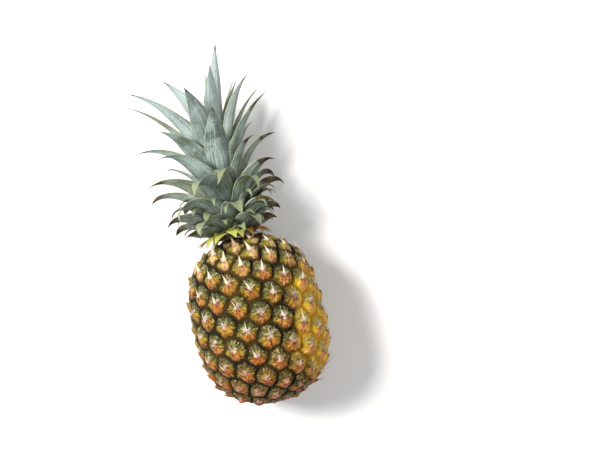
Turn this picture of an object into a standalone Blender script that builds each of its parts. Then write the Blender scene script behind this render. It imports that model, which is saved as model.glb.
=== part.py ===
"""A whole pineapple, as picked, lying on its side.

Run it with  blender --background --python part.py  or from Blender's text editor.

Metres, +Z up. The origin is in the middle of the flat spot that the fruit rests on. +Y runs
along the fruit, from its cut base to the tip of its crown, and +X is to its right as seen from
above. The fruit is one solid, covered with eyes that sit on one spiral. The stem of its crown
and each leaf of the crown are pieces of their own.
"""

import math
import random

import bmesh
import bpy
import numpy as np
from mathutils import Vector

# The fruit. Its outline is r = R * sqrt(1 - |y / a|^3), a barrel with full shoulders.
FRUIT_RADIUS = 0.0600
FRUIT_HALF_LENGTH = 0.0775
SHOULDER_POWER = 3
FLAT_DEPTH = 0.0020
FLAT_HALF_WIDTH = 0.0170
AXIS_HEIGHT = FRUIT_RADIUS - FLAT_DEPTH
NECK_Y = 0.0748
BASE_Y = -0.0752

# The eyes, which are the fruitlets that have grown together.
EYE_TURN = math.radians(137.3)
EYE_AREA = 395e-6
END_EYE_SHARE = 0.65
EYE_PHASE = math.radians(190.0)
GROOVE_DEPTH = 0.0036
EYE_RIM_WIDTH = 0.0034
EYE_RISE = 0.0030
EYE_POINT_RISE = 0.0006

# The crown's stem: a cone that stands on the fruit's neck, a thin gap above it.
GAP = 0.0003
STEM_LENGTH = 0.060
STEM_FOOT_RADIUS = 0.0160
STEM_TOP_RADIUS = 0.0030

# The crown's leaves, numbered upwards from the lowest. A leaf's rank goes from 0 to 1.
LEAF_COUNT = 57
LEAF_TURN = math.radians(137.508)
LEAF_PHASE = math.radians(12.0)
LEAF_STATIONS = 10
LEAF_SEED = 7
LOWEST_LEAF_HEIGHT = 0.0012
TOP_LEAF_HEIGHT = 0.0560
LONG_LEAF_RANK = 0.75
SHORT_LEAF_LENGTH = 0.037
LONG_LEAF_LENGTH = 0.122
INNER_LEAF_LENGTH = 0.086
LOWEST_LEAF_CLASP = 0.72
INNER_LEAF_CLASP = 0.42
LEAF_CHANNEL = 0.10

# Leaves that stand out: number of the leaf, then (times as long, degrees more lean, sway to
# the left at its tip).
ODD_LEAVES = {
    1: (0.85, 0, 0.0),
    2: (0.85, 0, 0.0),
    9: (0.85, 0, 0.0),
    10: (0.88, 0, 0.0),
    14: (0.95, -6, 0.0),
    17: (1.0, -9, 0.005),
    20: (1.0, -4, 0.010),
    22: (0.94, -4, 0.0),
    23: (0.92, 0, 0.0),
    25: (0.95, 0, 0.022),
    27: (0.98, -6, 0.0),
    30: (0.85, -6, 0.006),
    31: (0.94, -2, -0.002),
    33: (1.07, -5, -0.008),
    35: (1.04, -3, 0.0),
    36: (0.82, 0, -0.005),
    38: (0.60, -5, -0.008),
    39: (1.18, 4, 0.002),
    40: (0.88, 0, 0.004),
    41: (0.98, 0, -0.007),
    43: (0.97, -1, 0.000),
    44: (1.04, 4, 0.006),
    46: (0.96, 0, -0.002),
    48: (0.86, 0, 0.0),
    49: (1.09, -2, 0.011),
    51: (1.33, 0, 0.006),
    52: (0.86, 0, -0.006),
    54: (0.76, 0, 0.0),
    55: (0.80, 0, -0.010),
    57: (0.80, 0, -0.010),
}

# How the crown as a whole differs from a straight, even one.
LEFT_SPREAD = 0.13
CROWN_SWAY = 0.006
CROWN_LENGTH = 0.175
FLOOR_CLEARANCE = 0.0008
FLOOR_SHARPNESS = 3.5

SKIN_GREEN = (0.30, 0.27, 0.08)
STEM_GREEN = (0.35, 0.42, 0.20)
LEAF_GREEN = (0.25, 0.36, 0.26)

# Section of a leaf: (side from -1 to 1, outer +1 or inner -1) round its edge.
LEAF_SECTION = [(-1, 0), (-0.5, 1), (0, 1), (0.5, 1), (1, 0), (0.5, -1), (0, -1), (-0.5, -1)]


def clear_scene():
    for obj in list(bpy.data.objects):
        bpy.data.objects.remove(obj, do_unlink=True)


def principled(name, colour, roughness):
    """A plain material with a Principled BSDF of this colour and roughness."""
    material = bpy.data.materials.new(name)
    material.use_nodes = True
    shader = material.node_tree.nodes["Principled BSDF"]
    shader.inputs["Base Color"].default_value = (*colour, 1.0)
    shader.inputs["Roughness"].default_value = roughness
    shader.inputs["Metallic"].default_value = 0.0
    return material


def add_piece(name, bm, material, smooth_degrees=40.0):
    """Makes one named object of a bmesh, with its normals outwards and its round faces smooth."""
    bm.normal_update()
    bmesh.ops.recalc_face_normals(bm, faces=bm.faces)
    mesh = bpy.data.meshes.new(name)
    bm.to_mesh(mesh)
    bm.free()
    mesh.shade_smooth()
    mesh.set_sharp_from_angle(angle=math.radians(smooth_degrees))
    mesh.materials.append(material)
    piece = bpy.data.objects.new(name, mesh)
    bpy.context.scene.collection.objects.link(piece)
    return piece


# ---------------------------------------------------------------- the fruit


def outline(turns):
    """(y, r) of the fruit's outline at angles from -90 degrees, its base, to 90, its neck."""
    reach = np.abs(np.sin(turns)) ** (2.0 / SHOULDER_POWER)
    return FRUIT_HALF_LENGTH * np.sign(turns) * reach, FRUIT_RADIUS * np.cos(turns)


def eye_centres():
    """(place on the fruit, place on a unit ball) of each eye, all on one spiral.

    The spiral rises so that each eye gets its share of the fruit's surface. The ball is the
    fruit's surface drawn onto a sphere with all its angles kept.
    """
    y, radius = outline(np.linspace(-math.pi / 2, math.pi / 2, 6001)[1:-1])
    middle_radius = (radius[1:] + radius[:-1]) / 2
    middle_y = (y[1:] + y[:-1]) / 2
    step = np.hypot(np.diff(y), np.diff(radius))
    end_share = 1 - (1 - END_EYE_SHARE) * np.abs(middle_y / FRUIT_HALF_LENGTH) ** SHOULDER_POWER
    strip = 2 * math.pi * middle_radius * step
    eyes_so_far = np.concatenate([[0.0], np.cumsum(strip / (EYE_AREA * end_share))])
    latitude = np.concatenate([[0.0], np.cumsum(step / middle_radius)])
    latitude -= latitude[-1] / 2
    centres = []
    for number in range(int(eyes_so_far[-1])):
        eye_y = float(np.interp(number + 0.5, eyes_so_far, y))
        eye_radius = float(np.interp(number + 0.5, eyes_so_far, radius))
        level = math.tanh(float(np.interp(number + 0.5, eyes_so_far, latitude)))
        azimuth = EYE_PHASE + number * EYE_TURN
        way = Vector((math.cos(azimuth), 0.0, math.sin(azimuth)))
        place = way * eye_radius + Vector((0.0, eye_y, AXIS_HEIGHT))
        on_ball = way * math.sqrt(1 - level**2) + Vector((0.0, level, 0.0))
        centres.append((place, on_ball))
    return centres


def on_outline(point):
    """The point moved straight out from the fruit's axis to its outline."""
    from_axis = Vector((point.x, 0.0, point.z - AXIS_HEIGHT))
    share = min(abs(point.y) / FRUIT_HALF_LENGTH, 1.0)
    radius = FRUIT_RADIUS * math.sqrt(1 - share**SHOULDER_POWER)
    if from_axis.length > 1e-5:
        from_axis *= max(radius / from_axis.length, 1.0)
    return Vector((from_axis.x, point.y, from_axis.z + AXIS_HEIGHT))


def groove_point(point):
    """The point moved in to the bottom of the grooves, which stop short of the flat spot."""
    inwards = Vector((0.0, point.y * 0.5, AXIS_HEIGHT)) - point
    sunk = point + inwards.normalized() * GROOVE_DEPTH
    if point.z < AXIS_HEIGHT and math.hypot(point.x, point.y) < FLAT_HALF_WIDTH:
        sunk.z = point.z
    return sunk


def faces_round(vertex):
    """The faces round a hull's corner, each sharing an edge with the one before."""
    start = vertex.link_loops[0]
    loop = start
    found = []
    while True:
        found.append(loop.face)
        loop = loop.link_loop_prev.link_loop_radial_next
        if loop == start:
            return found


def cells_round(centres):
    """A closed bmesh with one polygon round each eye, its corners between three eyes."""
    hull = bmesh.new()
    place_of = {}
    for place, on_ball in centres:
        place_of[hull.verts.new(on_ball)] = place
    bmesh.ops.convex_hull(hull, input=hull.verts)
    bmesh.ops.triangulate(hull, faces=hull.faces)
    hull.normal_update()
    bmesh.ops.recalc_face_normals(hull, faces=hull.faces)
    hull.faces.index_update()
    cells = bmesh.new()
    corners = []
    for face in hull.faces:
        middle = sum((place_of[vertex] for vertex in face.verts), Vector()) / 3
        corners.append(cells.verts.new(groove_point(on_outline(middle))))
    for vertex in hull.verts:
        cells.faces.new([corners[face.index] for face in faces_round(vertex)])
    hull.free()
    cells.normal_update()
    bmesh.ops.recalc_face_normals(cells, faces=cells.faces)
    return cells


def cut_level(bm, point, normal):
    """Cuts away what lies beyond a plane and closes the cut with flat faces."""
    geometry = bm.verts[:] + bm.edges[:] + bm.faces[:]
    cut = bmesh.ops.bisect_plane(
        bm, geom=geometry, dist=1e-7, plane_co=point, plane_no=normal, clear_outer=True
    )
    rim = [item for item in cut["geom_cut"] if isinstance(item, bmesh.types.BMEdge)]
    bmesh.ops.edgenet_fill(bm, edges=rim)


def make_fruit():
    """The fruit: a raised pad on each eye, and flats at its neck, base and underside."""
    bm = cells_round(eye_centres())
    pads = bm.faces[:]
    bmesh.ops.inset_individual(bm, faces=pads, thickness=EYE_RIM_WIDTH, depth=EYE_RISE)
    bmesh.ops.poke(bm, faces=pads, offset=EYE_POINT_RISE)
    cut_level(bm, (0.0, NECK_Y, 0.0), (0.0, 1.0, 0.0))
    cut_level(bm, (0.0, BASE_Y, 0.0), (0.0, -1.0, 0.0))
    cut_level(bm, (0.0, 0.0, 0.0), (0.0, 0.0, -1.0))
    bmesh.ops.triangulate(bm, faces=bm.faces)
    add_piece("fruit", bm, principled("fruit_skin", SKIN_GREEN, 0.5))


# ---------------------------------------------------------------- the crown


def stem_radius(height):
    """Radius of the crown's stem at a height above the neck."""
    share = min(height / STEM_LENGTH, 1.0)
    return STEM_FOOT_RADIUS + (STEM_TOP_RADIUS - STEM_FOOT_RADIUS) * share


def settle(point):
    """Where a point of a straight, even crown comes to lie.

    The point is (across, height above the neck, up) from the stem's axis. The leaves on the
    left spread wider than those on the right, the crown sways to the right towards its tip,
    and the leaves under it are pressed in so that none goes below the floor.
    """
    across, height, up = point
    reach = math.hypot(across, up)
    if reach < 1e-6:
        return Vector((across, NECK_Y + height, AXIS_HEIGHT + up))
    spread = 1 - LEFT_SPREAD * across / reach
    if up < 0:
        room = (AXIS_HEIGHT - FLOOR_CLEARANCE) * reach / -up
        share = reach * spread / room
        spread /= (1 + share**FLOOR_SHARPNESS) ** (1 / FLOOR_SHARPNESS)
    sway = CROWN_SWAY * (height / CROWN_LENGTH) ** 2
    return Vector((across * spread + sway, NECK_Y + height, AXIS_HEIGHT + up * spread))


class Leaf:
    """One leaf of the crown. It lies on a surface of its own, turned round the stem's axis.

    The surfaces of the leaves nest one inside the other, so that no two leaves touch: a higher
    leaf starts further up the stem and leans out less.
    """

    def __init__(self, number):
        rank = number / (LEAF_COUNT - 1)
        dice = random.Random(LEAF_SEED + number)
        self.azimuth = LEAF_PHASE + number * LEAF_TURN
        self.foot = LOWEST_LEAF_HEIGHT + (TOP_LEAF_HEIGHT - LOWEST_LEAF_HEIGHT) * rank**1.15
        growth = min(rank / LONG_LEAF_RANK, 1.0)
        decline = max(rank - LONG_LEAF_RANK, 0.0) / (1 - LONG_LEAF_RANK)
        self.length = SHORT_LEAF_LENGTH + (LONG_LEAF_LENGTH - SHORT_LEAF_LENGTH) * growth**1.1
        self.length += (INNER_LEAF_LENGTH - LONG_LEAF_LENGTH) * decline
        self.length *= dice.uniform(0.92, 1.06)
        self.half_width = 0.0080 + 0.0040 * math.sin(math.pi * min(rank / 0.62, 1.0) / 2)
        self.half_width -= 0.0050 * max(rank - 0.80, 0.0) / 0.20
        self.clasp = LOWEST_LEAF_CLASP + (INNER_LEAF_CLASP - LOWEST_LEAF_CLASP) * rank
        self.lean = math.radians(66 - 62 * rank + dice.uniform(-1.5, 1.5))
        self.turn = math.radians(34 + 26 * math.sin(math.pi * rank) - 26 * rank**2)
        self.hook = math.radians(dice.uniform(20, 45) * (1 - rank**2))
        self.sway = dice.uniform(-0.010, 0.010)
        times_as_long, more_lean, sway = ODD_LEAVES.get(number + 1, (1.0, 0, self.sway))
        self.length *= times_as_long
        self.lean += math.radians(more_lean)
        self.sway = sway
        self.half_thickness = 0.00055 + 0.00015 * (1 - rank)

    def backbone(self, along):
        """(reach, height, lean) of the leaf's middle line, along from 0 to 1."""
        steps = 24
        reach = stem_radius(self.foot) + GAP + self.half_thickness * 1.6
        height = self.foot
        share = along / steps
        for step in range(steps):
            lean = self.lean_at((step + 0.5) * share)
            reach += self.length * share * math.sin(lean)
            height += self.length * share * math.cos(lean)
        return reach, height, self.lean_at(along)

    def lean_at(self, along):
        return self.lean + self.turn * (along - 0.45) + self.hook * along**4

    def width_at(self, along, reach):
        taper = max(1 - along**1.8, 0.0)
        return min(self.half_width, self.clasp * reach) * taper

    def blade_point(self, along, side):
        """A point half way through the leaf's thickness, side from -1 to 1 across it."""
        reach, height, lean = self.backbone(along)
        half_width = self.width_at(along, reach)
        azimuth = self.azimuth + (side * half_width + self.sway * along**2) / reach
        lift = LEAF_CHANNEL * half_width * side**2
        reach -= lift * math.cos(lean)
        height += lift * math.sin(lean)
        return settle((reach * math.cos(azimuth), height, reach * math.sin(azimuth)))

    def skin_point(self, along, side, face):
        """A point of the leaf's outer (face 1) or inner (face -1) skin, or its edge (face 0)."""
        point = self.blade_point(along, side)
        if not face:
            return point
        before, after = max(along - 0.01, 0.0), min(along + 0.01, 1.0)
        along_way = self.blade_point(after, side) - self.blade_point(before, side)
        inner = min(along, 0.98)
        across_way = self.blade_point(inner, side + 0.1) - self.blade_point(inner, side - 0.1)
        outwards = across_way.cross(along_way).normalized()
        thinning = 1 - 0.6 * along
        return point + outwards * face * self.half_thickness * thinning


def make_stem():
    """The crown's stem, a cone whose top edge is rounded."""
    bm = bmesh.new()
    bmesh.ops.create_cone(
        bm,
        cap_ends=True,
        segments=24,
        radius1=STEM_FOOT_RADIUS,
        radius2=STEM_TOP_RADIUS,
        depth=STEM_LENGTH,
    )
    top_edges = [edge for edge in bm.edges if all(v.co.z > 0 for v in edge.verts)]
    bmesh.ops.bevel(
        bm, geom=top_edges, offset=0.0015, segments=2, profile=0.5, affect="EDGES", material=-1
    )
    middle = STEM_LENGTH / 2 + GAP
    for vertex in bm.verts:
        height = vertex.co.z + middle
        vertex.co = settle((vertex.co.x, height, vertex.co.y))
    add_piece("crown_stem", bm, principled("stem", STEM_GREEN, 0.6))


def make_leaf(number, material):
    """One leaf: a prism with the leaf's section, laid along its middle line to a point."""
    leaf = Leaf(number)
    sides = len(LEAF_SECTION)
    bm = bmesh.new()
    bmesh.ops.create_cone(
        bm, cap_ends=True, segments=sides, radius1=1.0, radius2=1.0, depth=LEAF_STATIONS
    )
    long_edges = [edge for edge in bm.edges if edge.calc_length() > LEAF_STATIONS - 0.5]
    bmesh.ops.subdivide_edges(bm, edges=long_edges, cuts=LEAF_STATIONS - 1)
    tip = []
    for vertex in bm.verts:
        along = round(vertex.co.z + LEAF_STATIONS / 2) / LEAF_STATIONS
        corner = round(math.atan2(vertex.co.y, vertex.co.x) / math.tau * sides) % sides
        side, face = LEAF_SECTION[corner]
        vertex.co = leaf.skin_point(along, side, face)
        if along == 1.0:
            tip.append(vertex)
    bmesh.ops.pointmerge(bm, verts=tip, merge_co=leaf.blade_point(1.0, 0.0))
    add_piece(f"leaf_{number + 1:02d}", bm, material)


def make_crown():
    make_stem()
    material = principled("leaf", LEAF_GREEN, 0.55)
    for number in range(LEAF_COUNT):
        make_leaf(number, material)


def main():
    clear_scene()
    make_fruit()
    make_crown()


main()
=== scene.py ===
"""A whole pineapple, lying on its side on a pale floor and seen from straight above.

The fruit's skin, the bracts and spines on its eyes and every leaf of its crown are made here
round the frame, in metres, with +Z up and +Y from the fruit's base to the tip of its crown.
"""

import math
import random

import bmesh
import bpy
import numpy as np
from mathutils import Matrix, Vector, noise


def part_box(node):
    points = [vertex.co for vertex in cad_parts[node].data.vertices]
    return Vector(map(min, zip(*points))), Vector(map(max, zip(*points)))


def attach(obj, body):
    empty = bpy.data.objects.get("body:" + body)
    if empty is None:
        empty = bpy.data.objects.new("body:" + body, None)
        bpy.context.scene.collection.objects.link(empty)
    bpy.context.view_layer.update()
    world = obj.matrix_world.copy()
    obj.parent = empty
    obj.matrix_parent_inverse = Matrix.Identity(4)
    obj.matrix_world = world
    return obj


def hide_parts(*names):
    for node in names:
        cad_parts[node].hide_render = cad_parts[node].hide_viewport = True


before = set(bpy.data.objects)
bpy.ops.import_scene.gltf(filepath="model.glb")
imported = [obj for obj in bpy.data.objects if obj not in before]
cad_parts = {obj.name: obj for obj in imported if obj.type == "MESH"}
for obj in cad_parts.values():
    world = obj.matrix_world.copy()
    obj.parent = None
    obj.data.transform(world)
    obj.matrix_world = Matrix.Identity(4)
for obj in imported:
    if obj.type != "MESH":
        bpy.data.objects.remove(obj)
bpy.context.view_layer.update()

MM = 0.001
INSIDE_TONE = 2.0

# The fruit, whose outline is r = R * sqrt(1 - |y / a|^3).
FRUIT_LOW, FRUIT_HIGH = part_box("fruit")
FRUIT_RADIUS = 0.0600
FRUIT_HALF_LENGTH = 0.0775
SHOULDER_POWER = 3
OUTLINE_STEPS = 6001
FLAT_DEPTH = 0.0020
AXIS_HEIGHT = FRUIT_RADIUS - FLAT_DEPTH
NECK_Y = FRUIT_HIGH[1]
BASE_Y = FRUIT_LOW[1]
NECK_OVERLAP = 0.4 * MM

# The cut scar on the base and its rings.
SCAR_RADIUS = 0.0150
SCAR_DEPTH = 1.6 * MM
SCAR_RING_DEPTH = 0.4 * MM
SCAR_RING_WAVES = 2600

# The eyes on their spiral.
EYE_TURN = math.radians(137.3)
EYE_AREA = 395e-6
END_EYE_SHARE = 0.65
EYE_PHASE = math.radians(190.0)
EYE_SEED = 21
EYE_SPACING = 0.0214
CORNER_ROUNDING = 3.0
GROOVE_DEPTH = 0.0053
SKIN_CUTS = 12
WOBBLE_SEED = 3
SKIN_WOBBLES = ((8 * MM, 1.8 * MM), (2.4 * MM, 0.65 * MM))
LUMP_SIZE = 1.6 * MM
MAP_SIZE = 30.0

# The form of one eye, in mm on an eye of the usual size.
EYE_MIDDLE = 1.0
EYE_MIDDLE_HEIGHT = 5.8
EYE_UNEVENNESS = 0.8
LUMP_HEIGHT = 0.30
PILLOW_HEIGHT, PILLOW_EDGE, PILLOW_RISE = 3.1, 1.1, 0.14
BRACT_HEIGHTS, BRACT_HALF_WIDTHS = (-11, -7, -2, 2.0, 4.5), (8.5, 7.2, 4.8, 2.2, 0.0)
BRACT_FOOT, BRACT_RISE = 0.2, 1.5
HOLLOW_DEPTH, HOLLOW_UP, HOLLOW_SIZE = 1.3, 3.6, 1.5
RIDGE_HEIGHT, RIDGE_WAVES = 0.13, (5, 8, 13, 21)
SCALLOP_HEIGHT, SCALLOP_WAVES, SCALLOP_BORDER, SCALLOP_WIDTH = 0.38, 18, 1.7, 0.8

# The dry spines on the eyes. None grow by the scar or under the crown.
SPINE_SEED = 5
SPINE_REACH = 0.0597
SPINE_ROOT_DEPTH = 0.9
SPINE_STATIONS = 6
BARE_BASE = 6 * MM
BARE_NECK = 1 * MM

# The crown's leaves, numbered upwards from the lowest. A leaf's rank goes from 0 to 1.
STEM_LENGTH = 0.060
STEM_FOOT_RADIUS = 0.0160
STEM_TOP_RADIUS = 0.0030
LEAF_COUNT = 57
LEAF_TURN = math.radians(137.508)
LEAF_PHASE = math.radians(12.0)
LEAF_SEED = 7
LEAF_GAP = 0.0003
LOWEST_LEAF_HEIGHT = 0.0012
TOP_LEAF_HEIGHT = 0.0560
LONG_LEAF_RANK = 0.75
SHORT_LEAF_LENGTH = 0.037
LONG_LEAF_LENGTH = 0.122
INNER_LEAF_LENGTH = 0.086
LOWEST_LEAF_CLASP = 0.72
INNER_LEAF_CLASP = 0.42
LEFT_SPREAD = 0.13
CROWN_SWAY = 0.006
CROWN_LENGTH = 0.175
FLOOR_CLEARANCE = 0.0008
FLOOR_SHARPNESS = 3.5
LEAF_STATIONS = 48
LEAF_TOOTH = 0.03

# Low leaves that face the camera fold over at the tip. FACING is the least share of upward.
FACING = 0.6
FACING_RANK = 0.45
FACING_CURL = math.radians(110)
SHARP_BEND = 4
USUAL_BEND = 7

# Painted shade: leaves on the right, away from the key light, up to this rank, take the darker
# tone of lower ones.
PAINTED_SHADE_RANK = 0.62
PAINTED_SHADE_FALL = 0.35

# Leaves that stand out: (times as long, degrees more lean, sway to the left at the tip).
ODD_LEAVES = {
    1: (0.85, 0, 0.0),
    2: (0.85, 0, 0.0),
    9: (0.85, 0, 0.0),
    10: (0.88, 0, 0.0),
    14: (0.95, -6, 0.0),
    17: (1.0, -9, 0.005),
    20: (1.0, -4, 0.010),
    22: (0.94, -4, 0.0),
    23: (0.92, 0, 0.0),
    25: (0.95, 0, 0.022),
    27: (0.98, -6, 0.0),
    30: (0.85, -6, 0.006),
    31: (0.94, -2, -0.002),
    33: (1.07, -5, -0.008),
    35: (1.04, -3, 0.0),
    36: (0.82, 0, -0.005),
    38: (0.60, -5, -0.008),
    39: (1.18, 4, 0.002),
    40: (0.88, 0, 0.004),
    41: (0.98, 0, -0.007),
    43: (0.97, -1, 0.000),
    44: (1.04, 4, 0.006),
    46: (0.96, 0, -0.002),
    48: (0.86, 0, 0.0),
    49: (1.09, -2, 0.011),
    51: (1.33, 0, 0.006),
    52: (0.86, 0, -0.006),
    54: (0.76, 0, 0.0),
    55: (0.80, 0, -0.010),
    57: (0.80, 0, -0.010),
}

# How blades differ from plain ones: (times as wide, degrees of twist, degrees of curl at the tip).
LEAF_WIDER = 1.25
LEAF_FORMS = {
    12: (1.3, 0, None),
    17: (1.1, -10, 20),
    20: (1.4, 10, 0),
    23: (1.3, 20, 20),
    25: (1.4, 0, 100),
    28: (1.3, 10, 20),
    30: (1.0, -10, 0),
    31: (1.5, 20, 20),
    33: (1.9, 0, 0),
    35: (1.3, -20, 0),
    36: (1.5, 20, 0),
    38: (1.1, -20, 0),
    39: (1.4, 28, 0),
    41: (1.8, 15, 0),
    43: (1.4, -20, 15),
    44: (1.4, 25, 10),
    46: (1.8, 0, 0),
    49: (2.1, 18, 15),
    51: (2.0, -25, 0),
}
LOW_LEAF_COUNT = 34
LOW_LEAF_SEED = 500
LOW_LEAF_PHASE = math.radians(80.0)
LOW_LEAF_STATIONS = 24
LOW_LEAF_BEND = 5
NECK_LEAF_COUNT = 18
NECK_LEAF_STATIONS = 12
NECK_LEAF_SEED = 300
NECK_LEAF_PHASE = math.radians(95.0)
FRESH_CHANCE, DRY_CHANCE = 0.3, 0.8
DRY_SIDE = 0.35

# Sections of blades: (side from -1 to 1, outer face 1, edge 0 or inner face -1) all the way round.
BROAD_SIDES = (-0.88, -0.62, -0.32, 0.0, 0.32, 0.62, 0.88)
BROAD_SECTION = (
    [(-1.0, 0)]
    + [(side, 1) for side in BROAD_SIDES]
    + [(1.0, 0)]
    + [(side, -1) for side in reversed(BROAD_SIDES)]
)
NECK_SIDES = (-0.5, 0.0, 0.5)
NECK_SECTION = (
    [(-1.0, 0)]
    + [(side, 1) for side in NECK_SIDES]
    + [(1.0, 0)]
    + [(side, -1) for side in reversed(NECK_SIDES)]
)
NARROW_SECTION = [(-1.0, 0), (0.0, 1), (1.0, 0), (0.0, -1)]

# The camera looks straight down. The fruit's axis is turned a little to the left in its view.
VIEW_ROLL = math.radians(-13.9)
VIEW_CENTRE = (0.0559, 0.0723)
CAMERA_HEIGHT = 1.25
VIEW_WIDTH_AT_AXIS = 0.534
SENSOR_WIDTH = 36.0

# How much brighter the light is than one in which a white floor would just look white.
LIGHT_GAIN = 1.4

# Tints that darken the skin: round each eye, as painted shade at its edge by the grooves, at its
# foot, all over, in streaks.
ROUND_TINT = (0.52, 0.53, 0.38, 1.0)
PAINTED_EDGE_SHADE = (0.36, 0.38, 0.26, 1.0)
FOOT_TINT = (0.62, 0.55, 0.42, 1.0)
WARM_TINT = (0.97, 0.89, 0.56, 1.0)
STREAK_TINT = (0.26, 0.19, 0.11, 1.0)

# Lights: (place, size, power, colour).
KEY_LIGHT = ((-0.80, 0.56, 1.30), 0.50, 40.0, (1.0, 0.985, 0.96))
FILL_LIGHT = ((0.9, -0.4, 1.2), 1.0, 9.0, (1.0, 0.96, 0.90))
LIGHT_AIM = (0.0, 0.05, 0.0)
SKY_COLOUR = (0.93, 0.96, 1.0, 1.0)
SKY_STRENGTH = 0.32
FLOOR_SIZE = 3.0


# ---------------------------------------------------------------- shader maths


def shade(red, green, blue):
    """Linear colour of a shade given from 0 to 255 as it looks in this bright light."""
    channels = []
    for part in (red, green, blue):
        share = part / 255
        linear = share / 12.92 if share <= 0.04045 else ((share + 0.055) / 1.055) ** 2.4
        channels.append(linear / LIGHT_GAIN)
    return (*channels, 1.0)


class Amount:
    """A number that varies over a surface. Sums on it add Math nodes to its material."""

    def __init__(self, finish, socket):
        self.finish = finish
        self.socket = socket

    def maths(self, operation, *values):
        return self.finish.node("ShaderNodeMath", {"operation": operation}, [self, *values])

    def __add__(self, other):
        return self.maths("ADD", other)

    __radd__ = __add__

    def __sub__(self, other):
        return self.maths("SUBTRACT", other)

    def __rsub__(self, other):
        return self.finish.node("ShaderNodeMath", {"operation": "SUBTRACT"}, [other, self])

    def __mul__(self, other):
        return self.maths("MULTIPLY", other)

    __rmul__ = __mul__

    def __truediv__(self, other):
        return self.maths("DIVIDE", other)

    def __pow__(self, other):
        return self.maths("POWER", other)

    def __abs__(self):
        return self.maths("ABSOLUTE")

    def at_least(self, other):
        return self.maths("MAXIMUM", other)

    def at_most(self, other):
        return self.maths("MINIMUM", other)

    def step(self, low, high):
        """0 below low, 1 above high and smooth between. With low above high it falls."""
        settings = {"interpolation_type": "SMOOTHSTEP"}
        if low < high:
            return self.finish.node("ShaderNodeMapRange", settings, [self, low, high, 0.0, 1.0])
        return self.finish.node("ShaderNodeMapRange", settings, [self, high, low, 1.0, 0.0])


class Finish:
    """A material whose nodes are added one by one."""

    def __init__(self, name, roughness=0.5, **constants):
        self.material = bpy.data.materials.new(name)
        self.material.use_nodes = True
        self.tree = self.material.node_tree
        self.shader = self.tree.nodes["Principled BSDF"]
        self.shader.inputs["Roughness"].default_value = roughness
        for socket, value in constants.items():
            self.shader.inputs[socket.replace("_", " ")].default_value = value

    def put(self, socket, value):
        if isinstance(value, Amount):
            self.tree.links.new(value.socket, socket)
        else:
            socket.default_value = value

    def node(self, kind, settings=None, values=(), output=0):
        """Adds a node with its settings, then its inputs by order or by name."""
        node = self.tree.nodes.new(kind)
        for name, value in (settings or {}).items():
            setattr(node, name, value)
        named = values.items() if isinstance(values, dict) else enumerate(values)
        for key, value in named:
            self.put(node.inputs[key], value)
        return Amount(self, node.outputs[output])

    def mix(self, factor, first, second):
        """The first colour where the factor is 0 and the second where it is 1."""
        settings = {"data_type": "RGBA"}
        return self.node("ShaderNodeMix", settings, {0: factor, 6: first, 7: second}, 2)

    def lay(self, colour, amount, factor, dark, light):
        """Lays a mix of a dark and a light shade over a colour, as far as the amount says."""
        return self.mix(amount, colour, self.mix(factor, shade(*dark), shade(*light)))

    def times(self, colour, tint, factor=1.0):
        """The colour multiplied by the tint, as far as the factor says."""
        settings = {"data_type": "RGBA", "blend_type": "MULTIPLY"}
        return self.node("ShaderNodeMix", settings, {0: factor, 6: colour, 7: tint}, 2)

    def map_pair(self, layer):
        """The two numbers that a UV map holds."""
        place = self.node("ShaderNodeUVMap", {"uv_map": layer})
        return self.split(place)

    def split(self, vector):
        """The three numbers of a vector."""
        node = self.tree.nodes.new("ShaderNodeSeparateXYZ")
        self.put(node.inputs[0], vector)
        return [Amount(self, output) for output in node.outputs]

    def join(self, x, y, z):
        return self.node("ShaderNodeCombineXYZ", None, [x, y, z])

    def place(self):
        """Where a point is on the object, in metres."""
        return self.node("ShaderNodeTexCoord", None, (), 3)

    def noise(self, vector, scale, detail=3.0, roughness=0.55):
        values = {"Vector": vector, "Scale": scale, "Detail": detail, "Roughness": roughness}
        return self.node("ShaderNodeTexNoise", None, values)

    def finish(self, colour, roughness=None, height=None, depth=0.0005, strength=1.0):
        """Links what varies over the surface. A height of 1 stands up by depth, in metres."""
        self.put(self.shader.inputs["Base Color"], colour)
        if roughness is not None:
            self.put(self.shader.inputs["Roughness"], roughness)
        if height is not None:
            values = {"Height": height, "Distance": depth, "Strength": strength}
            normal = self.node("ShaderNodeBump", None, values)
            self.put(self.shader.inputs["Normal"], normal)
        return self.material


# ---------------------------------------------------------------- making pieces


def add_piece(name, bm, material, node_slot, *replaced):
    """Makes one piece of a bmesh, which rides on the frame's only body."""
    bm.normal_update()
    bmesh.ops.recalc_face_normals(bm, faces=bm.faces)
    mesh = bpy.data.meshes.new(name)
    bm.to_mesh(mesh)
    bm.free()
    mesh.shade_smooth()
    mesh.materials.append(material)
    piece = bpy.data.objects.new(name, mesh)
    bpy.context.scene.collection.objects.link(piece)
    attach(piece, "root")
    if replaced:
        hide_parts(*replaced)
    return piece


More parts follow.
